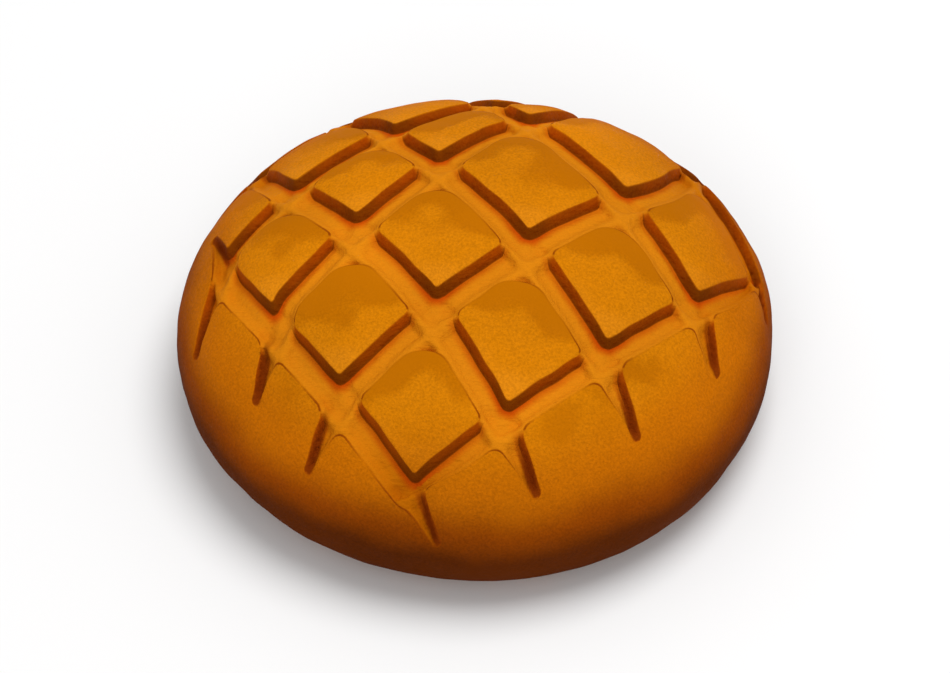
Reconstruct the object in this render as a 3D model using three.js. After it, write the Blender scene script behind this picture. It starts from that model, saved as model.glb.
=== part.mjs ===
import * as THREE from 'three'

// A melon pan: a round sweet bun of soft bread in a crust of cookie dough. The crust is scored in a
// diamond lattice while it is still a flat sheet, and the scores open into grooves as the bun bakes.
// The mesh is made the same way: a flat sheet of triangles is scored, then wrapped over the dome.
// Millimetres, +Z up. The bun rests on Z = 0 with the middle of its box at the origin, and the near
// ends of the grooves, with their long tails, face -Y.

const { clamp, degToRad, lerp, smoothstep } = THREE.MathUtils

// The baked bun
const bunWidth = 117
const bunHeight = 49.5
const bellyHeight = 14.3
const footWidth = 95

// The bun is not quite round: shallow lobes swell it, each by a share of its radius towards `towards`
const lobes = [
  { count: 2, swell: 0.017, towards: -10 },
  { count: 3, swell: 0.005, towards: -80 },
  { count: 4, swell: 0.004, towards: 30 },
]

// How far the dome's level top, upright side and rounded underside carry on, as shares of its size
const topReach = 0.5
const sideReach = 0.47
const underReach = 0.58

// The sheet's triangles: rings of 6, 12, 18... points down to the belly, then rings of one size.
// Points nearer to a score than `slide` slide onto it, and `probe` is the step that finds the way.
const triangleSize = 2.35
const growingRings = 32
const underRings = 6
const slide = 0.26 * triangleSize
const probe = 0.01
const halvings = 12

// The crust. Its pads stand as high as it is thick and are crowned a little. They are lifted more
// nearly straight up than square to the dome, by the share `upright`, and their near walls slant more.
const crustThickness = 2.8
const upright = 0.6
const nearSlant = 1.15
const farSlant = 0.5
const crownHeight = 0.3
const crownMargin = 6

// The two families of cuts, each measured across its cuts, in the flat sheet, from the middle of the
// bun. A cut stands at the distance `at`, leans by `lean`, bends by `bow`, and opens to a groove of
// `width`. Its near end swings aside by `swing` over the length `tail`, and its far part drifts aside
// by `drift` beyond `turn`. The groove narrows to `tailWidth` at its ends, or to its own `tip`, mostly
// from one side.
const tailWidth = 2.6
const taperLength = 15
const fadeLength = 2.5
const tailEase = 0.1
const tailSide = 0.35
const driftLength = 22
const rightAcross = direction(33)
const rightCuts = [
  {
    at: -44.1, lean: 0, bow: 0, width: 6.9, near: -45.5, far: 47,
    tail: 10, swing: -3, turn: 26, drift: 3.6,
  },
  {
    at: -19.4, lean: -0.026, bow: -0.0014, width: 6.5, near: -51.5, far: 62,
    tail: 13.5, swing: -1.2, turn: 36, drift: 3,
  },
  {
    at: 3.1, lean: -0.055, bow: -0.0008, width: 6.1, near: -54.5, far: 65,
    tail: 15.5, swing: -2.2, turn: 24, drift: 3.6,
  },
  {
    at: 28.3, lean: -0.021, bow: 0, width: 7.2, near: -51.8, far: 59,
    tail: 9, swing: -3.8, turn: 22, drift: 2.5, tip: 4,
  },
  {
    at: 59.8, lean: 0.15, bow: 0, width: 8, near: -46, far: 31,
    tail: 13.5, swing: -1.7, turn: 20, drift: 0,
  },
]
const leftAcross = direction(130)
const leftCuts = [
  {
    at: -38.9, lean: -0.05, bow: 0.001, width: 5.7, near: -45, far: 55,
    tail: 5.5, swing: 0, turn: 30, drift: 0,
  },
  {
    at: -12.9, lean: -0.033, bow: 0.0006, width: 6.7, near: -57.5, far: 64,
    tail: 17, swing: -7.3, turn: 38, drift: 4.8,
  },
  {
    at: 14.8, lean: 0.11, bow: 0.0022, width: 6.6, near: -56, far: 62,
    tail: 19, swing: -13, turn: 14, drift: -2.6,
  },
  {
    at: 34.2, lean: -0.065, bow: 0, width: 5.6, near: -59, far: 57,
    tail: 22.5, swing: -12.2, turn: 14, drift: 1.8,
  },
  {
    at: 57.5, lean: 0, bow: -0.0005, width: 5, near: -34, far: 33,
    tail: 9, swing: 0, turn: 20, drift: 0,
  },
]

// The rising dough rounds the corners of the pads: sharp towards -Y, and broad at the far corner.
// The skirt below the lattice keeps small corners.
const nearRadius = 0.7
const leftRadius = 1.8
const rightRadius = 1.4
const farRadius = 7
const skirtRadius = 2

// A groove is deepest at the foot of the wall beyond it. Its floor climbs back to the pad before it,
// and at the side corners of both, over the length `rise`. At a near corner the wall is a little lower.
const rightRise = 1.5
const leftRise = 3
const farStep = 0.4
const sideStep = 0.05
const nearPinch = 0.2
const pinchStart = 0.2
const softness = 0.8

function direction(degrees) {
  const angle = degToRad(degrees)
  return new THREE.Vector2(Math.cos(angle), Math.sin(angle))
}

// The share of the mean radius that the bun has towards a heading
function roundness(heading) {
  return lobes.reduce((share, { count, swell, towards }) => (
    share + swell * Math.cos(count * (heading - degToRad(towards)))
  ), 1)
}

// The outline of half the bun, from the middle of the top over the belly to the foot
const meanRadius = bunWidth / 2 / roundness(0)
const footRadius = footWidth / 2
const crown = new THREE.CubicBezierCurve(
  new THREE.Vector2(0, bunHeight),
  new THREE.Vector2(topReach * meanRadius, bunHeight),
  new THREE.Vector2(meanRadius, lerp(bellyHeight, bunHeight, sideReach)),
  new THREE.Vector2(meanRadius, bellyHeight),
)
const underside = new THREE.CubicBezierCurve(
  new THREE.Vector2(meanRadius, bellyHeight),
  new THREE.Vector2(meanRadius, bellyHeight * (1 - underReach)),
  new THREE.Vector2((meanRadius + footRadius) / 2, 0),
  new THREE.Vector2(footRadius, 0),
)
const halfOutline = new THREE.CurvePath()
halfOutline.add(crown)
halfOutline.add(underside)
const footReach = halfOutline.getLength()

// Wrap a point of the flat sheet over the dome, and lift it off the dome's surface
function onDome(place, lift) {
  const share = Math.min(place.length() / footReach, 1)
  const point = halfOutline.getPoint(share)
  const along = halfOutline.getTangent(share)
  const lifted = new THREE.Vector2(-along.y, along.x).lerp(new THREE.Vector2(0, 1), upright)
  point.addScaledVector(lifted.normalize(), lift)
  const heading = place.angle()
  const radius = point.x * roundness(heading)
  return new THREE.Vector3(radius * Math.cos(heading), radius * Math.sin(heading), point.y)
}

// How wide a cut's groove is, at a distance along it
function widthOf(cut, run) {
  const fromEnd = Math.min(run - cut.near, cut.far - run)
  return lerp(cut.tip ?? tailWidth, cut.width, smoothstep(fromEnd, 0, taperLength))
}

// How far a cut stands from the middle, at a distance along it
function asideOf(cut, run) {
  const inTail = Math.max(0, cut.near + cut.tail - run) / cut.tail
  const swing = cut.swing * (Math.hypot(inTail, tailEase) - tailEase)
  const drift = cut.drift * smoothstep(run, cut.turn, cut.turn + driftLength)
  const narrowing = tailSide * (cut.width - widthOf(cut, run))
  return cut.at + cut.lean * run + cut.bow * run ** 2 + swing + drift + narrowing
}

// The nearest groove of a family: how far its edge is, less than 0 inside the groove, how deep it is
// there, and on which side of it the place lies. Towards its ends a groove narrows and runs out.
// `climb` is 1 at the foot of its wall, -1 at the pad before it, and 0 in the middle and off it.
function nearestGroove(cuts, rise, across, along) {
  let nearest = { distance: Infinity }
  for (const cut of cuts) {
    const run = clamp(along, cut.near, cut.far)
    const fromEnd = Math.min(run - cut.near, cut.far - run)
    const slope = asideOf(cut, run + 0.5) - asideOf(cut, run - 0.5)
    const aside = (across - asideOf(cut, run)) / Math.hypot(1, slope)
    const halfWidth = widthOf(cut, run) / 2
    const distance = Math.hypot(aside, along - run) - halfWidth
    if (distance >= nearest.distance) continue
    const side = Math.sign(aside)
    nearest = {
      distance,
      side,
      depth: crustThickness * smoothstep(fromEnd, -tailWidth / 2, fadeLength),
      outermost: cut === cuts[0],
      climb: side * smoothstep(distance / halfWidth, -1, 0) * (1 - smoothstep(distance, 0, rise)),
    }
  }
  return nearest
}

function cornerRadius(right, left) {
  if ([right, left].some((groove) => groove.outermost && groove.side < 0)) return skirtRadius
  if (right.side < 0) return left.side < 0 ? farRadius : rightRadius
  return left.side < 0 ? leftRadius : nearRadius
}

// What the scoring leaves at a place of the sheet: how far the place is from the edge of the pad that
// it lies on, less than 0 off the pads, how far it is from the foot of that pad's wall, and how deep
// the floor of the groove lies
function scoreAt(place) {
  const across = place.dot(rightAcross)
  const along = place.dot(leftAcross)
  const right = nearestGroove(rightCuts, rightRise, across, along)
  const left = nearestGroove(leftCuts, leftRise, along, across)
  const radius = cornerRadius(right, left)
  const x = radius - right.distance
  const y = radius - left.distance
  const corner = Math.max(Math.hypot(x, y), 0.001)
  const inCorner = x > 0 && y > 0
  const edge = inCorner ? radius - corner : Math.min(right.distance, left.distance)
  const nearer = right.distance < left.distance ? right : left
  const facing = inCorner ? (x * right.side + y * left.side) / corner : nearer.side
  const slant = lerp(farSlant, nearSlant, (clamp(facing, -1, 1) + 1) / 2)

  const both = right.climb + left.climb
  const apart = Math.hypot(right.climb - left.climb, softness) - softness
  const most = (both + apart) / 2
  const least = (both - apart) / 2
  const farShare = lerp(farStep, 1, (most + 1) / 2)
  const sideShare = lerp(sideStep, 1, smoothstep(least, -1, 0))
  const nearShare = 1 - nearPinch * smoothstep(least, pinchStart, 1)
  const reached = [right, left].filter((groove) => groove.distance < radius)
  const depth = Math.max(0, ...reached.map((groove) => groove.depth))
  return { edge, slant, wallFoot: edge + slant, floor: depth * farShare * sideShare * nearShare }
}

// Rings of points round a middle point, joined by triangles, each ring to the one inside it
function makeSheet() {
  const places = [new THREE.Vector2(0, 0)]
  const faces = []
  const beltReach = growingRings * triangleSize
  let inner = { start: 0, count: 1 }
  for (let ring = 1; ring <= growingRings + underRings; ring++) {
    const count = 6 * Math.min(ring, growingRings)
    const under = (ring - growingRings) / underRings
    const reach = under > 0 ? lerp(beltReach, footReach, under) : ring * triangleSize
    const outer = { start: places.length, count }
    for (let i = 0; i < count; i++) {
      places.push(direction(360 * i / count).multiplyScalar(reach))
    }
    faces.push(...joinRings(inner, outer))
    inner = outer
  }
  return { places, faces, foot: inner }
}

// Triangles between two rings, each step taken on the ring that is behind
function joinRings(inner, outer) {
  const faces = []
  let i = 0
  let o = 0
  const innerSteps = inner.count > 1 ? inner.count : 0
  while (i < innerSteps || o < outer.count) {
    const a = inner.start + i % inner.count
    const b = outer.start + o % outer.count
    const innerShare = (i + 0.5) / innerSteps
    const outerShare = (o + 0.5) / outer.count
    if (i === innerSteps || (o < outer.count && outerShare <= innerShare)) {
      o += 1
      faces.push([a, b, outer.start + o % outer.count])
    } else {
      i += 1
      faces.push([a, b, inner.start + i % inner.count])
    }
  }
  return faces
}

// Score the sheet along the line where `fromLine` is 0: points close to the line slide onto it, and
// triangles that it crosses are split
function scoreSheet(sheet, fromLine) {
  const { places } = sheet
  const values = places.map((place, i) => {
    const value = fromLine(place)
    if (sheet.scored.has(i) || Math.abs(value) > slide) return value
    const slope = new THREE.Vector2(
      fromLine(place.clone().setX(place.x + probe)) - value,
      fromLine(place.clone().setY(place.y + probe)) - value,
    )
    place.addScaledVector(slope.normalize(), -value)
    sheet.scored.add(i)
    return 0
  })

  const cuts = new Map()
  const cutBetween = (a, b) => {
    const key = a < b ? `${a} ${b}` : `${b} ${a}`
    if (!cuts.has(key)) {
      let low = values[a] < 0 ? places[a] : places[b]
      let high = values[a] < 0 ? places[b] : places[a]
      for (let i = 0; i < halvings; i++) {
        const middle = low.clone().lerp(high, 0.5)
        if (fromLine(middle) < 0) low = middle
        else high = middle
      }
      cuts.set(key, places.length)
      sheet.scored.add(places.length)
      places.push(low.clone().lerp(high, 0.5))
    }
    return cuts.get(key)
  }

  sheet.faces = sheet.faces.flatMap((face) => {
    const signs = face.map((corner) => Math.sign(values[corner]))
    if (!signs.includes(1) || !signs.includes(-1)) return [face]
    const lone = signs.includes(0)
      ? signs.indexOf(0)
      : signs.findIndex((sign) => signs.filter((other) => other === sign).length === 1)
    const [a, b, c] = [0, 1, 2].map((turn) => face[(lone + turn) % 3])
    if (signs[lone] === 0) {
      const across = cutBetween(b, c)
      return [[a, b, across], [a, across, c]]
    }
    const ab = cutBetween(a, b)
    const ac = cutBetween(a, c)
    return [[a, ab, ac], [ab, b, c], [ab, c, ac]]
  })
}

// How far the crust's surface stands off the smooth dome: down in the grooves, and crowned on the pads
function liftAt(place) {
  const { edge, slant, floor } = scoreAt(place)
  if (edge < 0) return -crownHeight - floor * Math.min(-edge / slant, 1)
  return -crownHeight * Math.max(0, 1 - edge / crownMargin) ** 2
}

function makeBun() {
  const sheet = { ...makeSheet(), scored: new Set() }
  scoreSheet(sheet, (place) => scoreAt(place).edge)
  scoreSheet(sheet, (place) => scoreAt(place).wallFoot)
  const points = sheet.places.map((place) => onDome(place, liftAt(place)))
  const middle = points.length
  points.push(new THREE.Vector3(0, 0, 0))
  for (let i = 0; i < sheet.foot.count; i++) {
    const next = (i + 1) % sheet.foot.count
    sheet.faces.push([sheet.foot.start + i, middle, sheet.foot.start + next])
  }
  const geometry = new THREE.BufferGeometry().setFromPoints(points)
  geometry.setIndex(sheet.faces.flat())
  geometry.computeBoundingBox()
  const centre = geometry.boundingBox.getCenter(new THREE.Vector3())
  geometry.translate(-centre.x, -centre.y, 0)
  geometry.computeVertexNormals()
  return geometry
}

const crustMaterial = new THREE.MeshStandardMaterial({ color: 0xc8780f, roughness: 0.75, metalness: 0 })
const bun = new THREE.Mesh(makeBun(), crustMaterial)
bun.name = 'bun'

const group = new THREE.Group()
group.add(bun)

export default group
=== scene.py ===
import math

import bpy
import numpy as np
from mathutils import Matrix, Vector
from mathutils.geometry import interpolate_bezier


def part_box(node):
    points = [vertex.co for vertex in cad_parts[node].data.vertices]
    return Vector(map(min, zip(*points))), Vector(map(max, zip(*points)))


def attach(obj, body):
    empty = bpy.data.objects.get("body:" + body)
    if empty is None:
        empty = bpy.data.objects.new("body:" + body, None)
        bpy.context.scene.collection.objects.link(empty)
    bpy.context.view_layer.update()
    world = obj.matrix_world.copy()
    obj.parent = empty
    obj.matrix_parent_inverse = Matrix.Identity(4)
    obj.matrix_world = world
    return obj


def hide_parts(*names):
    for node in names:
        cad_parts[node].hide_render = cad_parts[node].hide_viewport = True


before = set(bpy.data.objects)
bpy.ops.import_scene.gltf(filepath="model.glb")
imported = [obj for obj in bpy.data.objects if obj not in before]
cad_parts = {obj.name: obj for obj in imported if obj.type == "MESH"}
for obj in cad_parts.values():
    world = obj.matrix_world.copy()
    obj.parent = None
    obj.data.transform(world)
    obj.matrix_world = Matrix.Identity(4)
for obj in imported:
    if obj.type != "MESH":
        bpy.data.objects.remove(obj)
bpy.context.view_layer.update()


# --- The dome ---------------------------------------------------------------------------------
# The bun's risen form: soft white bread under its crust, level on top, fullest at a low belly, and
# flat where it lay on the baking tray. It is drawn as half an outline, from the middle of the top to
# the middle of the underside, which the crust is wrapped over.

mm = 0.001
bun_width = 117 * mm
bun_height = 49.5 * mm
belly_height = 14.3 * mm
foot_radius = 47.5 * mm

# How far the level top, the upright side and the rounded underside carry on, as shares of the size.
top_reach = 0.5
side_reach = 0.47
under_reach = 0.58

# The bun is not quite round, as shallow lobes swell it. Each entry is how many lobes go round it, by
# what share of its radius they swell it, and the heading of the first one in degrees.
lobes = [(2, 0.017, -10), (3, 0.005, -80), (4, 0.004, 30)]
mean_radius = bun_width / 2 / (1 + sum(swell * math.cos(math.radians(count * towards))
                                       for count, swell, towards in lobes))

crown_steps = 200
underside_steps = 100
base_steps = 60


def half_outline():
    """Points of (radius, 0, height) down the crown and the underside, and in along the flat base."""
    top = Vector((0, 0, bun_height))
    belly = Vector((mean_radius, 0, belly_height))
    foot = Vector((foot_radius, 0, 0))
    base = Vector((0, 0, 0))
    top_handle = Vector((top_reach * mean_radius, 0, bun_height))
    side_handle = belly + Vector((0, 0, side_reach * (bun_height - belly_height)))
    under_handle = belly - Vector((0, 0, under_reach * belly_height))
    foot_handle = foot + Vector(((mean_radius - foot_radius) / 2, 0, 0))
    crown = interpolate_bezier(top, top_handle, side_handle, belly, crown_steps)
    underside = interpolate_bezier(belly, under_handle, foot_handle, foot, underside_steps)
    return crown + underside[1:] + [foot.lerp(base, i / base_steps) for i in range(1, base_steps + 1)]


outline_points = half_outline()
outline_steps = [(b - a).length for a, b in zip(outline_points, outline_points[1:])]
outline_reach = np.concatenate([[0], np.cumsum(outline_steps)])
outline_curve = bpy.data.curves.new("half outline", "CURVE")
outline_curve.dimensions = "3D"
outline_spline = outline_curve.splines.new("POLY")
outline_spline.points.add(len(outline_points) - 1)
for spline_point, point in zip(outline_spline.points, outline_points):
    spline_point.co = (*point, 1)
half_outline_object = bpy.data.objects.new("half outline", outline_curve)
bpy.context.scene.collection.objects.link(half_outline_object)


# --- The sheet of cookie dough ----------------------------------------------------------------
# The crust is rolled flat before it is laid over the bun. Here it is a flat disc of triangles in
# rings, from the middle of the top out to the middle of the underside, finest where it is scored.

lattice_reach = 60 * mm
foot_reach = outline_reach[crown_steps + underside_steps - 2]
base_reach = outline_reach[-1]
lattice_spacing = 0.45 * mm
side_spacing = 0.8 * mm
base_spacing = 1.4 * mm
change_length = 8 * mm
spacing_reaches = [lattice_reach, lattice_reach + change_length, foot_reach, foot_reach + change_length]
spacings = [lattice_spacing, side_spacing, side_spacing, base_spacing]
ring_pitch = 0.9
smallest_ring = 6


def joined_rings(inner, outer):
    """Triangles between two rings of points, each step taken on the ring that is behind."""
    inner_steps = len(inner) if len(inner) > 1 else 0
    outer_steps = len(outer) if len(outer) > 1 else 0
    i = o = 0
    while i < inner_steps or o < outer_steps:
        a = inner[i % len(inner)]
        b = outer[o % len(outer)]
        outer_is_next = (o + 0.5) * inner_steps <= (i + 0.5) * outer_steps
        if i == inner_steps or (o < outer_steps and outer_is_next):
            o += 1
            yield a, b, outer[o % len(outer)]
        else:
            i += 1
            yield a, b, inner[i % len(inner)]


def dough_sheet():
    """The points of the flat sheet, and its triangles as the numbers of their corners."""
    points = [(0, 0)]
    triangles = []
    inner = [0]
    reach = 0
    while len(inner) > 1 or reach == 0:
        spacing = np.interp(reach, spacing_reaches, spacings)
        reach = min(reach + ring_pitch * spacing, base_reach)
        girth = 2 * math.pi * np.interp(reach, outline_reach, [point.x for point in outline_points])
        count = 1 if reach == base_reach else max(smallest_ring, round(girth / spacing))
        outer = range(len(points), len(points) + count)
        points += [(reach * math.cos(turn), reach * math.sin(turn))
                   for turn in np.arange(count) * 2 * math.pi / count]
        triangles += joined_rings(inner, outer)
        inner = outer
    return np.array(points), triangles


# --- The scores -------------------------------------------------------------------------------
# Two families of cuts are pressed into the sheet with a scraper, and open into grooves in the oven.
# The dough between them stays as raised pads, and the last cuts run out in tails on the plain skirt.
#
# A cut's sizes are in millimetres. It stands `at` from the middle, runs from its `near` end to its
# `far` one, leans and bows on the way, and opens to a groove of its `width`. Its near end swings aside
# over the length of its tail, and its far part drifts aside beyond its turn. The groove narrows to
# `tail_width` at its ends, or to a tip of its own, mostly from one side.

crust_thickness = 2.8 * mm
tail_width = 2.6
taper_length = 15
fade_length = 2.5
tail_ease = 0.1
tail_side = 0.35
drift_length = 22


def heading(degrees):
    """The way that a direction points in the flat sheet, turned from +X towards +Y."""
    return np.array([math.cos(math.radians(degrees)), math.sin(math.radians(degrees))])


right_across = heading(33)
right_cuts = [
    dict(at=-44.1, lean=0, bow=0, width=6.9, near=-45.5, far=47,
         tail=10, swing=-3, turn=26, drift=3.6),
    dict(at=-19.4, lean=-0.026, bow=-0.0014, width=6.5, near=-51.5, far=62,
         tail=13.5, swing=-1.2, turn=36, drift=3),
    dict(at=3.1, lean=-0.055, bow=-0.0008, width=6.1, near=-54.5, far=65,
         tail=15.5, swing=-2.2, turn=24, drift=3.6),
    dict(at=28.3, lean=-0.021, bow=0, width=7.2, near=-51.8, far=59,
         tail=9, swing=-3.8, turn=22, drift=2.5, tip=4),
    dict(at=59.8, lean=0.15, bow=0, width=8, near=-46, far=31,
         tail=13.5, swing=-1.7, turn=20, drift=0),
]
left_across = heading(130)
left_cuts = [
    dict(at=-38.9, lean=-0.05, bow=0.001, width=5.7, near=-45, far=55,
         tail=5.5, swing=0, turn=30, drift=0),
    dict(at=-12.9, lean=-0.033, bow=0.0006, width=6.7, near=-57.5, far=64,
         tail=17, swing=-7.3, turn=38, drift=4.8),
    dict(at=14.8, lean=0.11, bow=0.0022, width=6.6, near=-56, far=62,
         tail=19, swing=-13, turn=14, drift=-2.6),
    dict(at=34.2, lean=-0.065, bow=0, width=5.6, near=-59, far=57,
         tail=22.5, swing=-12.2, turn=14, drift=1.8),
    dict(at=57.5, lean=0, bow=-0.0005, width=5, near=-34, far=33,
         tail=9, swing=0, turn=20, drift=0),
]


def smooth_step(value, low, high):
    """0 up to the value `low` and 1 from the value `high`, with a smooth change between them."""
    share = np.clip((value - low) / (high - low), 0, 1)
    return share * share * (3 - 2 * share)


def width_of(cut, run):
    """How wide a cut's groove is, at a distance along it."""
    from_end = np.minimum(run - cut["near"], cut["far"] - run)
    tip = cut.get("tip", tail_width)
    return tip + (cut["width"] - tip) * smooth_step(from_end, 0, taper_length)


def aside_of(cut, run):
    """How far a cut stands from the middle, at a distance along it."""
    in_tail = np.clip(cut["near"] + cut["tail"] - run, 0, None) / cut["tail"]
    swing = cut["swing"] * (np.hypot(in_tail, tail_ease) - tail_ease)
    drift = cut["drift"] * smooth_step(run, cut["turn"], cut["turn"] + drift_length)
    narrowing = tail_side * (cut["width"] - width_of(cut, run))
    return cut["at"] + cut["lean"] * run + cut["bow"] * run ** 2 + swing + drift + narrowing


# A groove is deepest at the foot of the wall beyond it. Its floor climbs to the pad before it, and to
# the side corners of both, over the length of its rise. A tail is painted dark inside near its wall, as
# shade.

right_rise = 1.5 * mm
left_rise = 3 * mm
pad_reach = 7.5 * mm
tail_narrowing = 3 * mm
tail_rim = 0.3 * mm
dark_tail = 1.6 * mm
pale_tail = 2.5 * mm


def nearest_groove(cuts, rise, across, along):
    """What the nearest groove of a family is, to places at distances across and along its cuts.

    `distance` is how far its edge is, less than 0 inside it, and `side` is 1 beyond the groove and -1
    before it. `depth` is how deep it is scored, and it is `outermost` where the skirt lies before it.
    `climb` is 1 at the foot of its wall, -1 at the pad before it, and 0 in the middle and off it.
    `nearness` falls from 1 to 0 over the pad beyond it, and rises from -1 to 0 over the pad before it.
    `shade` is painted shade, 1 where a groove whose end swings aside has narrowed to a tail.
    """
    nearest = {}
    for cut in cuts:
        run = np.clip(along, cut["near"], cut["far"])
        from_end = np.minimum(run - cut["near"], cut["far"] - run)
        slope = aside_of(cut, run + 0.5) - aside_of(cut, run - 0.5)
        aside = (across - aside_of(cut, run)) / np.hypot(1, slope)
        side = np.sign(aside)
        half_width = width_of(cut, run) / 2 * mm
        distance = np.hypot(aside, along - run) * mm - half_width
        on_floor = smooth_step(distance / half_width, -1, 0) * (1 - smooth_step(distance, 0, rise))
        in_tail = smooth_step(cut["width"] * mm - 2 * half_width, 0, tail_narrowing) * (cut["swing"] != 0)
        near_wall = 1 - smooth_step(half_width - aside * mm, dark_tail, pale_tail)
        groove = {
            "distance": distance,
            "side": side,
            "depth": crust_thickness * smooth_step(from_end, -tail_width / 2, fade_length),
            "outermost": np.full(len(across), cut is cuts[0]),
            "climb": on_floor * side,
            "nearness": (1 - smooth_step(distance, 0, pad_reach)) * side,
            "shade": in_tail * near_wall * (1 - smooth_step(distance, -tail_rim, 0)),
        }
        closer = distance < nearest.get("distance", np.inf)
        nearest = {name: np.where(closer, value, nearest.get(name, value))
                   for name, value in groove.items()}
    return nearest


# The floor lies a step below a pad's far edge, and hardly below its side corners. The climbs of two
# crossing grooves blend softly.

far_step = 0.4
side_step = 0.05
near_pinch = 0.2
pinch_start = 0.2
softness = 0.8


def floor_share(right, left):
    """How deep the floor lies near two grooves, as a share of the scoring.

    The higher climb of the two sets the step down from the far edge, and the lower one raises the
    floor at a pad's side corners, and a little at its near corner.
    """
    together = right["climb"] + left["climb"]
    apart = np.hypot(right["climb"] - left["climb"], softness) - softness
    higher = (together + apart) / 2
    lower = (together - apart) / 2
    far_share = far_step + (1 - far_step) * (higher + 1) / 2
    side_share = side_step + (1 - side_step) * smooth_step(lower, -1, 0)
    near_share = 1 - near_pinch * smooth_step(lower, pinch_start, 1)
    return far_share * side_share * near_share


# The painted shade in a crease along a right or a left cut fades over a length from the pad's side
# corner.

right_crease_length = 9 * mm
left_crease_length = 4 * mm
faint_crease = 0.12


def crease_shade_at(right, left):
    """How dark the painted shade in the crease at a pad's far edges is: darkest at the pad's side
    corners.
    """
    along_right = 1 - (1 - faint_crease) * smooth_step(left["distance"], 0, right_crease_length)
    along_left = 1 - (1 - faint_crease) * smooth_step(right["distance"], 0, left_crease_length)
    return np.where(right["distance"] < left["distance"],
                    along_right * (right["side"] <= 0), along_left * (left["side"] <= 0))


# The pads are sharp and steep towards -Y, where the crust tore open, and rounded at the far corner.
# The skirt is one broad pad, so no place on it is farther than its middle. The edges waver a little,
# as torn dough does, by a sum of waves in the sheet.

near_radius = 0.7 * mm
left_radius = 1.8 * mm
right_radius = 1.4 * mm
far_radius = 7 * mm
skirt_radius = 2 * mm
skirt_farness = 0.49
smallest_corner = 0.001 * mm
edge_waver = 0.3 * mm
shortest_wave = 5 * mm
longest_wave = 13 * mm
wave_count = 12
wave_draw = np.random.default_rng(3)
wave_headings = wave_draw.uniform(0, 2 * math.pi, wave_count)
wave_lengths = wave_draw.uniform(shortest_wave, longest_wave, wave_count)
wave_starts = wave_draw.uniform(0, 2 * math.pi, wave_count)
waves = np.stack([np.cos(wave_headings), np.sin(wave_headings)]) * 2 * math.pi / wave_lengths


def score_at(places):
    """What the scoring leaves at places of the flat sheet.

    `edge` is how far a place is from the edge of its pad, less than 0 in the grooves. `facing` is 1 at
    the pads' near walls and -1 at their far edges, and `farness` runs over a pad from 0 at its near
    corner to 1 at its far one. `score` is how deeply the dough is scored there, and `floor` how deep
    the groove's floor lies. `tail_shade` is how dark a tail is painted inside, as shade, and `crease`
    how dark the painted shade in the crease at a pad's far edge is.
    """
    across = places @ right_across / mm
    along = places @ left_across / mm
    right = nearest_groove(right_cuts, right_rise, across, along)
    left = nearest_groove(left_cuts, left_rise, along, across)
    waver = edge_waver * np.sin(places @ waves + wave_starts).mean(axis=1)
    right["distance"] += waver
    left["distance"] += waver

    right_beyond = right["side"] > 0
    left_beyond = left["side"] > 0
    skirt = (right["outermost"] & ~right_beyond) | (left["outermost"] & ~left_beyond)
    radius = np.select([skirt, right_beyond & left_beyond, right_beyond, left_beyond],
                       [skirt_radius, near_radius, left_radius, right_radius], far_radius)
    right_inset = radius - right["distance"]
    left_inset = radius - left["distance"]
    in_corner = (right_inset > 0) & (left_inset > 0)
    corner = np.maximum(np.hypot(right_inset, left_inset), smallest_corner)
    nearer_side = np.where(right["distance"] < left["distance"], right["side"], left["side"])
    corner_facing = (right_inset * right["side"] + left_inset * left["side"]) / corner
    facing = np.where(in_corner, corner_facing, nearer_side)
    farness = 0.5 - (right["nearness"] + left["nearness"]) / 4
    score = np.maximum(right["depth"] * (right["distance"] < radius),
                       left["depth"] * (left["distance"] < radius))
    return {
        "edge": np.where(in_corner, radius - corner, np.minimum(right["distance"], left["distance"])),
        "facing": np.clip(facing, -1, 1),
        "farness": np.where(skirt, np.minimum(farness, skirt_farness), farness),
        "score": score,
        "floor": score * floor_share(right, left),
        "tail_shade": np.maximum(right["shade"], left["shade"]),
        "crease": crease_shade_at(right, left),
    }


# The sheet's triangles are parted along the pads' edges, and again along the feet of their walls:
# points close to such a line slide onto it, and triangles that it still crosses are cut in two.

near_slant = 1.15 * mm
far_slant = 0.5 * mm
slide = 0.12 * mm
probe = 0.01 * mm
halvings = 12


def from_edge(places):
    return score_at(places)["edge"]


def from_wall_foot(places):
    score = score_at(places)
    return score["edge"] + far_slant + (near_slant - far_slant) * (score["facing"] + 1) / 2


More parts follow.
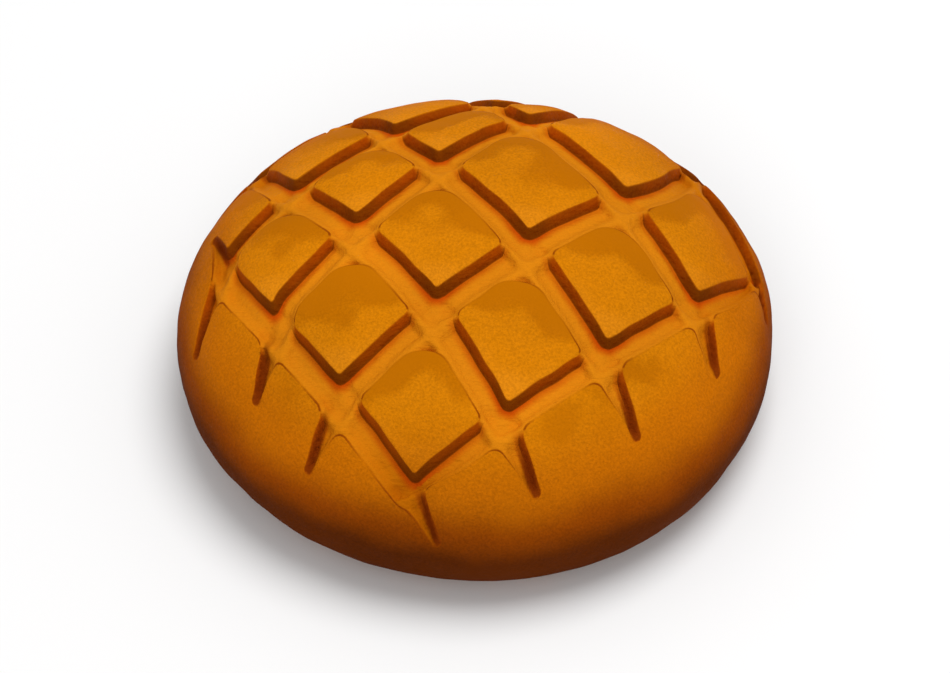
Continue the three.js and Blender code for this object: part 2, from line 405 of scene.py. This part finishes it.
def part_sheet(points, triangles, from_line, parted):
    """The sheet with its triangles parted where `from_line` is 0, and which points are on such lines."""
    values = from_line(points)
    close = (np.abs(values) < slide) & ~parted
    beside = from_line(points[close] + (probe, 0)) - values[close]
    ahead = from_line(points[close] + (0, probe)) - values[close]
    uphill = np.stack([beside, ahead], axis=1) / np.hypot(beside, ahead)[:, None]
    points[close] -= uphill * values[close][:, None]
    values[close] = 0
    parted = parted | close

    signs = np.sign(values).astype(int)
    corners = np.array(triangles)
    sides = np.sort(np.concatenate([corners[:, [0, 1]], corners[:, [1, 2]], corners[:, [2, 0]]]), axis=1)
    crossed = np.unique(sides[signs[sides].prod(axis=1) < 0], axis=0)
    first_is_low = (values[crossed[:, 0]] < 0)[:, None]
    low = np.where(first_is_low, points[crossed[:, 0]], points[crossed[:, 1]])
    high = np.where(first_is_low, points[crossed[:, 1]], points[crossed[:, 0]])
    for _ in range(halvings):
        middle = (low + high) / 2
        is_low = (from_line(middle) < 0)[:, None]
        low = np.where(is_low, middle, low)
        high = np.where(is_low, high, middle)
    crossing_of = {tuple(side): len(points) + i for i, side in enumerate(crossed.tolist())}

    def crossing(a, b):
        return crossing_of[min(a, b), max(a, b)]

    kept = []
    for triangle in triangles:
        side_signs = [signs[corner] for corner in triangle]
        if 1 not in side_signs or -1 not in side_signs:
            kept.append(triangle)
            continue
        lone = 0 if 0 in side_signs else -sum(side_signs) // abs(sum(side_signs))
        start = side_signs.index(lone)
        a, b, c = triangle[start:] + triangle[:start]
        if lone == 0:
            kept += [(a, b, crossing(b, c)), (a, crossing(b, c), c)]
        else:
            ab, ac = crossing(a, b), crossing(a, c)
            kept += [(a, ab, ac), (ab, b, c), (ab, c, ac)]
    return np.concatenate([points, low]), kept, np.concatenate([parted, np.full(len(low), True)])


def scored_sheet():
    """The flat sheet as a mesh that carries, at each point, what the scoring leaves there."""
    points, triangles = dough_sheet()
    parted = np.full(len(points), False)
    points, triangles, parted = part_sheet(points, triangles, from_edge, parted)
    points, triangles, parted = part_sheet(points, triangles, from_wall_foot, parted)
    mesh = bpy.data.meshes.new("bun")
    mesh.from_pydata([(x, y, 0) for x, y in points], [], triangles)
    for name, values in score_at(points).items():
        mesh.attributes.new(name, "FLOAT", "POINT").data.foreach_set("value", values)
    return mesh


bun = bpy.data.objects.new("bun_crust", scored_sheet())
bpy.context.scene.collection.objects.link(bun)


# --- The baked crust --------------------------------------------------------------------------
# In the oven the bun swells under its crust. The pads are lifted more nearly straight up than square
# to the dome, the grooves between them open, and the surface turns lumpy and crumbly. Geometry Nodes
# press the grooves, wrap the sheet over the dome and roughen it.


class Wiring:
    """A node tree that is wired as it is written: each call adds one node and gives its output."""

    def __init__(self, tree):
        self.tree = tree

    def add(self, kind, inputs, output=0, **settings):
        node = self.tree.nodes.new(kind)
        for name, value in settings.items():
            setattr(node, name, value)
        for name, value in inputs.items():
            self.feed(node.inputs[name], value)
        return node.outputs[output]

    def feed(self, socket, value):
        if isinstance(value, bpy.types.NodeSocket):
            self.tree.links.new(value, socket)
        else:
            socket.default_value = value

    def math(self, operation, *values):
        return self.add("ShaderNodeMath", dict(enumerate(values)), operation=operation)

    def vector(self, operation, *values, output=0):
        return self.add("ShaderNodeVectorMath", dict(enumerate(values)), output, operation=operation)

    def scaled(self, vector, size):
        return self.add("ShaderNodeVectorMath", {"Vector": vector, "Scale": size}, operation="SCALE")

    def part_of(self, vector, axis):
        return self.add("ShaderNodeSeparateXYZ", {0: vector}, axis)

    def step(self, value, low, high, to_low=0, to_high=1):
        """A smooth change from `to_low` at the value `low` to `to_high` at the value `high`."""
        return self.add("ShaderNodeMapRange", {0: value, 1: low, 2: high, 3: to_low, 4: to_high},
                        interpolation_type="SMOOTHSTEP")

    def ramp(self, value, low, high, to_low=0, to_high=1):
        """An even change from `to_low` at the value `low` to `to_high` at the value `high`."""
        return self.add("ShaderNodeMapRange", {0: value, 1: low, 2: high, 3: to_low, 4: to_high})

    def noise(self, place, scale, detail=2, roughness=0.5):
        return self.add("ShaderNodeTexNoise", {"Vector": place, "Scale": scale, "Detail": detail,
                                               "Roughness": roughness})

    def waver(self, place, scale, detail=2):
        """Noise that goes both ways from 0, by less than 1."""
        return self.ramp(self.noise(place, scale, detail), 0, 1, -1, 1)


def crust_tree():
    """The bun's node group, with its sizes as inputs."""
    tree = bpy.data.node_groups.new("bun crust", "GeometryNodeTree")
    for name, kind, value in [
            ("Sheet", "Geometry", None), ("Half Outline", "Object", None),
            ("Crust Finish", "Material", None), ("Near Slant", "Float", near_slant),
            ("Far Slant", "Float", far_slant), ("Crown Height", "Float", 0.3 * mm),
            ("Crown Margin", "Float", 6 * mm), ("Upright Share", "Float", 0.6),
            ("Lump Height", "Float", 0.45 * mm), ("Lump Scale", "Float", 85.0),
            ("Base Edge", "Float", 0.2 * mm), ("Side Edge", "Float", 5 * mm),
            ("Wall Edge", "Float", -0.9 * mm), ("Floor Edge", "Float", -1.9 * mm),
            ("Wave Height", "Float", 0.22 * mm), ("Wave Scale", "Float", 260.0),
            ("Crumb Height", "Float", 0.1 * mm), ("Crumb Scale", "Float", 900.0)]:
        socket = tree.interface.new_socket(name, in_out="INPUT", socket_type="NodeSocket" + kind)
        if value is not None:
            socket.default_value = value
    tree.interface.new_socket("Bun", in_out="OUTPUT", socket_type="NodeSocketGeometry")
    given = tree.nodes.new("NodeGroupInput").outputs
    wiring = Wiring(tree)
    place = wiring.add("GeometryNodeInputPosition", {})

    def stored(name):
        return wiring.add("GeometryNodeInputNamedAttribute", {"Name": name})

    # The wall drops to the groove's floor, and the pad above it falls a little towards its edges.
    slant = wiring.ramp(stored("facing"), -1, 1, given["Far Slant"], given["Near Slant"])
    down_wall = wiring.ramp(wiring.math("DIVIDE", stored("edge"), slant), 0, -1)
    pressed = wiring.math("MULTIPLY", stored("floor"), down_wall)
    margin = wiring.ramp(wiring.math("DIVIDE", stored("edge"), given["Crown Margin"]), 0, 1, 1, 0)
    fall = wiring.math("MULTIPLY", wiring.math("POWER", margin, 2), given["Crown Height"])
    drop = wiring.math("ADD", pressed, fall)

    # The sheet is wrapped over the dome, which the lobes swell.
    turn = wiring.math("ARCTAN2", wiring.part_of(place, "Y"), wiring.part_of(place, "X"))
    outline = wiring.add("GeometryNodeObjectInfo", {"Object": given["Half Outline"]}, "Geometry")
    sample = {"Curves": outline, "Length": wiring.vector("LENGTH", place, output=1)}
    on_outline = wiring.add("GeometryNodeSampleCurve", sample, "Position", mode="LENGTH")
    along = wiring.add("GeometryNodeSampleCurve", sample, "Tangent", mode="LENGTH")
    square = wiring.vector("CROSS_PRODUCT", (0, 1, 0), along)
    down = wiring.add("ShaderNodeCombineXYZ", {"Z": wiring.math("MULTIPLY", given["Upright Share"], -1)})
    square_part = wiring.scaled(square, wiring.math("SUBTRACT", 1, given["Upright Share"]))
    inward = wiring.vector("NORMALIZE", wiring.vector("ADD", square_part, down))
    pressed_place = wiring.vector("ADD", on_outline, wiring.scaled(inward, drop))
    roundness = 1.0
    for count, swell, towards in lobes:
        lobe_turn = wiring.math("MULTIPLY_ADD", turn, count, -math.radians(count * towards))
        roundness = wiring.math("MULTIPLY_ADD", wiring.math("COSINE", lobe_turn), swell, roundness)
    radius = wiring.math("MULTIPLY", wiring.part_of(pressed_place, "X"), roundness)
    wrapped = wiring.add("ShaderNodeCombineXYZ", {
        "X": wiring.math("MULTIPLY", radius, wiring.math("COSINE", turn)),
        "Y": wiring.math("MULTIPLY", radius, wiring.math("SINE", turn)),
        "Z": wiring.part_of(pressed_place, "Z")})
    geometry = wiring.add("GeometryNodeSetPosition", {"Geometry": given["Sheet"], "Position": wrapped})

    # The surface is lumpy all over but on the flat base, and wavy and crumbly on the groove floors.
    off_base = wiring.step(wiring.part_of(place, "Z"), given["Base Edge"], given["Side Edge"])
    lump = wiring.math("MULTIPLY", wiring.waver(place, given["Lump Scale"]),
                       wiring.math("MULTIPLY", given["Lump Height"], off_base))
    past_wall = wiring.step(stored("edge"), given["Wall Edge"], given["Floor Edge"])
    scored = wiring.math("DIVIDE", stored("score"), crust_thickness)
    on_floor = wiring.math("MULTIPLY", past_wall, scored)
    crumb = wiring.math("MULTIPLY", wiring.waver(place, given["Crumb Scale"]), given["Crumb Height"])
    wave = wiring.waver(place, given["Wave Scale"], 1)
    floor_relief = wiring.math("MULTIPLY_ADD", wave, given["Wave Height"], crumb)
    relief = wiring.math("MULTIPLY_ADD", floor_relief, on_floor, lump)
    offset = wiring.scaled(wiring.add("GeometryNodeInputNormal", {}), relief)
    geometry = wiring.add("GeometryNodeSetPosition", {"Geometry": geometry, "Offset": offset})

    geometry = wiring.add("GeometryNodeSetShadeSmooth", {"Geometry": geometry})
    geometry = wiring.add("GeometryNodeRealizeInstances", {"Geometry": geometry})
    geometry = wiring.add("GeometryNodeSetMaterial",
                          {"Geometry": geometry, "Material": given["Crust Finish"]})
    wiring.feed(tree.nodes.new("NodeGroupOutput").inputs["Bun"], geometry)
    return tree


def from_hex(code):
    """A colour as it looks on screen, in the linear values that a shader takes."""
    levels = [int(code[i:i + 2], 16) / 255 for i in (0, 2, 4)]
    return tuple(level / 12.92 if level <= 0.04045 else ((level + 0.055) / 1.055) ** 2.4
                 for level in levels) + (1,)


# The finish: sugar and egg brown the crust to a golden orange. It darkens evenly down the side
# towards the rim. The pads are painted lighter at their near corners, a highlight, and darker towards
# their far corners, shade. The near walls are painted dark as shade, darkest at their feet and near
# corners, with a reddish painted contact shadow on the floor at their feet, and the creases at the
# far edges carry a thin line of painted shade. Groove floors stay paler. A fine leathery grain covers
# the skirt and the near part of each pad.

# The pads: a painted highlight at the near corner, painted shade towards the far corner.
pad_near_highlight_colour = from_hex("D47F0E")
pad_colour = from_hex("CC7804")
pad_far_shade_colour = from_hex("B86800")
skirt_colour = from_hex("BA6402")
side_colour = from_hex("8C3F01")
rim_colour = from_hex("582402")
tray_colour = from_hex("8A4A12")
floor_colour = from_hex("D47E0E")
# The near walls: colours painted dark as shade, darkest at the near corner, the foot and in the tails.
wall_shade_colour = from_hex("A24600")
wall_corner_shade_colour = from_hex("763600")
wall_foot_shade_colour = from_hex("6A2E00")
tail_shade_colour = from_hex("782F02")
# A reddish painted contact shadow on the groove floor at a near wall's foot.
contact_shade_colour = from_hex("C04A02")
# A thin line of painted shade in the creases at the pads' far edges.
crease_shade_colour = from_hex("8A3C02")

# Each of these begins at one place and is full at another: down the bun's height, across a pad's edge,
# from a pad's near corner, 0, to its far one, 1, or round it from its far edges, -1, to its near walls,
# 1. A wall is there only where the scoring reaches some share of its full depth.

skirt_heights = (38 * mm, 27 * mm)
side_heights = (28 * mm, 19 * mm)
rim_heights = (21 * mm, 13 * mm)
tray_heights = (4 * mm, 0.5 * mm)
floor_heights = (36 * mm, 24 * mm)
floor_edges = (0.2 * mm, -0.7 * mm)
# The reddish painted contact shadow lies on the floor beyond a near wall's foot.
contact_shade_edges = (-3.2 * mm, -1.3 * mm)
wall_top_edges = (0.08 * mm, -0.15 * mm)
wall_foot_edges = (-0.5 * mm, -1.1 * mm)
wall_end_edges = (-1.35 * mm, -1.05 * mm)
crease_inner_edges = (-0.4 * mm, -0.1 * mm)
crease_outer_edges = (0.25 * mm, 0.05 * mm)
pad_shares = (0.1, 0.35)
pad_far_shares = (0.46, 0.62)
wall_shares = (0, 0.45)
grain_shares = (0.72, 0.5)
wall_facings = (-0.1, 0.8)
wall_scores = (0, 0.3)

# The painted contact shadow at a wall's foot weakens along the wall to a share of itself, and a share
# of the foot's painted shade darkens the wall.

far_contact_shade = 0.45
foot_darkness = 0.7

# Uneven patches shift where the darkening down the side, and the painted shade towards a pad's far
# corner, start. Grain, ripples and a slow sheen are noise in the dough, whose values mostly keep to
# a usual range.

usual_noise = (0.3, 0.7)
patch_scale = 60
patch_height = 3 * mm
patch_share = 0.4
grain_scale = 2000
grain_height = 0.18 * mm
far_grain = 0.15
floor_grain = 0.35
speckle = 0.3
ripple_scale = 1100
ripple_stretch = (0.35, 1, 1)
ripple_height = 2.2
sheen_scale = 35
sheen_range = (0.91, 1.08)
roughness_scale = 300
roughness_range = (0.7, 0.85)
gloss = 0.02


def crust_finish():
    """The crust's material. It reads what the scoring left, and the height above the tray."""
    material = bpy.data.materials.new("baked crust")
    material.use_nodes = True
    wiring = Wiring(material.node_tree)
    shader = material.node_tree.nodes["Principled BSDF"]
    place = wiring.add("ShaderNodeTexCoord", {}, "Object")

    def stored(name):
        return wiring.add("ShaderNodeAttribute", {}, "Fac", attribute_name=name)

    def mixed(share, a, b):
        return wiring.add("ShaderNodeMix", {0: share, 6: a, 7: b}, 2, data_type="RGBA")

    def both(*shares):
        product = shares[0]
        for share in shares[1:]:
            product = wiring.math("MULTIPLY", product, share)
        return product

    edge = stored("edge")
    farness = stored("farness")
    scored = wiring.math("MULTIPLY", stored("score"), 1 / crust_thickness)
    has_wall = wiring.step(scored, *wall_scores)
    near_wall = wiring.step(stored("facing"), *wall_facings)
    patches = wiring.waver(place, patch_scale, 3)
    height = wiring.math("MULTIPLY_ADD", patches, patch_height, wiring.part_of(place, "Z"))
    patchy_farness = wiring.math("MULTIPLY_ADD", patches, patch_share, farness)

    # From the top of the pads, painted lighter at their near corners as a highlight and darker towards
    # their far corners as shade, down to the rim and the underside.
    pad = mixed(wiring.step(farness, *pad_shares), pad_near_highlight_colour, pad_colour)
    pad = mixed(wiring.step(patchy_farness, *pad_far_shares), pad, pad_far_shade_colour)
    pad_and_side = mixed(wiring.step(height, *skirt_heights), pad, skirt_colour)
    pad_and_side = mixed(wiring.step(height, *side_heights), pad_and_side, side_colour)
    pad_and_side = mixed(wiring.step(height, *rim_heights), pad_and_side, rim_colour)
    pad_and_side = mixed(wiring.step(height, *tray_heights), pad_and_side, tray_colour)

    # The grooves: the floor, and the reddish painted contact shadow on the floor at a near wall's foot.
    on_floor = both(wiring.step(edge, *floor_edges), scored)
    far_along = wiring.step(farness, *wall_shares)
    contact_shade_share = wiring.ramp(far_along, 0, 1, 1, far_contact_shade)
    contact_shade = both(wiring.step(edge, *contact_shade_edges), near_wall, contact_shade_share)
    floor = mixed(wiring.step(height, *floor_heights), floor_colour, skirt_colour)
    grooved = mixed(on_floor, pad_and_side, mixed(contact_shade, floor, contact_shade_colour))

    # The near walls of the torn crust, painted dark as shade: darkest at their feet and in the tails.
    # Then the painted shade in the creases at the far edges.
    tail = stored("tail_shade")
    wall = both(wiring.step(edge, *wall_end_edges), near_wall)
    wall = both(wiring.step(edge, *wall_top_edges), wiring.math("MAXIMUM", wall, tail), has_wall)
    shaded_wall = mixed(far_along, wall_corner_shade_colour, wall_shade_colour)
    shaded_wall = mixed(both(wiring.step(edge, *wall_foot_edges), foot_darkness), shaded_wall, wall_foot_shade_colour)
    shaded_wall = mixed(tail, shaded_wall, tail_shade_colour)
    walled = mixed(wall, grooved, shaded_wall)
    crease = both(wiring.step(edge, *crease_inner_edges), wiring.step(edge, *crease_outer_edges),
                  stored("crease"), has_wall)
    coloured = mixed(crease, walled, crease_shade_colour)

    # The grain, and the ripples that the torn dough leaves on the floors.
    grain = wiring.noise(place, grain_scale, 2, 0.6)
    grain_share = wiring.step(patchy_farness, *grain_shares, far_grain, 1)
    grain_share = wiring.ramp(on_floor, 0, 1, grain_share, floor_grain)
    speckles = both(wiring.ramp(grain, *usual_noise, -speckle / 2, speckle / 2), grain_share)
    sheen = wiring.ramp(wiring.noise(place, sheen_scale, 1), *usual_noise, *sheen_range)
    brightness = wiring.math("ADD", speckles, sheen)
    wiring.feed(shader.inputs["Base Color"], wiring.scaled(coloured, brightness))
    stretched = wiring.vector("MULTIPLY", place, ripple_stretch)
    ripples = both(wiring.noise(stretched, ripple_scale), on_floor)
    relief = wiring.math("MULTIPLY_ADD", ripples, ripple_height, both(grain, grain_share))
    bump = wiring.add("ShaderNodeBump", {"Height": relief, "Strength": 1.0, "Distance": grain_height})
    wiring.feed(shader.inputs["Normal"], bump)
    roughness = wiring.ramp(wiring.noise(place, roughness_scale), *usual_noise, *roughness_range)
    wiring.feed(shader.inputs["Roughness"], roughness)
    shader.inputs["Specular IOR Level"].default_value = gloss
    return material


def bake(bun):
    """Run the bun's tree, keep its result as a plain mesh and set it down on the CAD bun's middle."""
    tree = crust_tree()
    modifier = bun.modifiers.new("crust", "NODES")
    modifier.node_group = tree
    values = {"Half Outline": half_outline_object, "Crust Finish": crust_finish()}
    for item in tree.interface.items_tree:
        if item.name in values:
            modifier[item.identifier] = values[item.name]
    bpy.context.view_layer.update()
    evaluated = bun.evaluated_get(bpy.context.evaluated_depsgraph_get())
    mesh = bpy.data.meshes.new_from_object(evaluated)
    bun.modifiers.remove(modifier)
    bun.data = mesh
    corners = np.array([vertex.co for vertex in mesh.vertices])
    middle = (corners.min(0) + corners.max(0)) / 2
    low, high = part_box("bun")
    cad_middle = (low + high) / 2
    mesh.transform(Matrix.Translation((cad_middle.x - middle[0], cad_middle.y - middle[1], 0)))


bake(bun)
bpy.data.objects.remove(half_outline_object)
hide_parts("bun")
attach(bun, "root")


# --- The studio -------------------------------------------------------------------------------
# A pale matt floor, a broad soft light overhead with a weaker one in front, and the camera above the
# near side of the bun.

floor_reach = 2
floor_corners = [(-floor_reach, -floor_reach, 0), (floor_reach, -floor_reach, 0),
                 (floor_reach, floor_reach, 0), (-floor_reach, floor_reach, 0)]
floor_mesh = bpy.data.meshes.new("floor")
floor_mesh.from_pydata(floor_corners, [], [(0, 1, 2, 3)])
floor = bpy.data.objects.new("floor", floor_mesh)
bpy.context.scene.collection.objects.link(floor)
floor_finish = bpy.data.materials.new("pale floor")
floor_finish.use_nodes = True
floor_shader = floor_finish.node_tree.nodes["Principled BSDF"]
floor_shader.inputs["Base Color"].default_value = (0.9, 0.9, 0.9, 1)
floor_shader.inputs["Roughness"].default_value = 0.9
floor_mesh.materials.append(floor_finish)


def soft_light(name, place, power, size=0.8):
    """A round soft light, turned to the bun."""
    lamp = bpy.data.lights.new(name, "AREA")
    lamp.shape = "DISK"
    lamp.size = size
    lamp.energy = power
    light = bpy.data.objects.new(name, lamp)
    light.location = place
    light.rotation_euler = (-Vector(place)).to_track_quat("-Z", "Y").to_euler()
    bpy.context.scene.collection.objects.link(light)


soft_light("key light", (0.25, 0.15, 1.2), power=9)
soft_light("front light", (-0.3, -1.2, 0.8), power=3)
world = bpy.data.worlds.new("studio")
world.use_nodes = True
background = world.node_tree.nodes["Background"]
background.inputs["Color"].default_value = (1, 1, 1, 1)
background.inputs["Strength"].default_value = 0.55
bpy.context.scene.world = world
bpy.context.scene.view_settings.view_transform = "Standard"

# The camera looks down on the bun through a long lens, and is rolled a little to one side. It aims at
# the bun's middle, and is then lowered in its own view.

camera_elevation = math.radians(49)
camera_roll = math.radians(-1.159)
camera_distance = 0.7
camera_lens = 135.3
level_aim = Vector((0.0001, 0.0003, 0.020))
drop_in_view = 0.00477
forward = Vector((0, math.cos(camera_elevation), -math.sin(camera_elevation)))
level_up = Vector((0, math.sin(camera_elevation), math.cos(camera_elevation)))
right = math.cos(camera_roll) * Vector((1, 0, 0)) + math.sin(camera_roll) * level_up
up = -math.sin(camera_roll) * Vector((1, 0, 0)) + math.cos(camera_roll) * level_up
camera_data = bpy.data.cameras.new("camera")
camera_data.lens = camera_lens
camera_data.clip_start = 0.01
camera = bpy.data.objects.new("camera", camera_data)
camera_place = level_aim - drop_in_view * up - camera_distance * forward
camera_turn = Matrix((right, up, -forward)).transposed().to_4x4()
camera.matrix_world = Matrix.Translation(camera_place) @ camera_turn
bpy.context.scene.collection.objects.link(camera)
bpy.context.scene.camera = camera
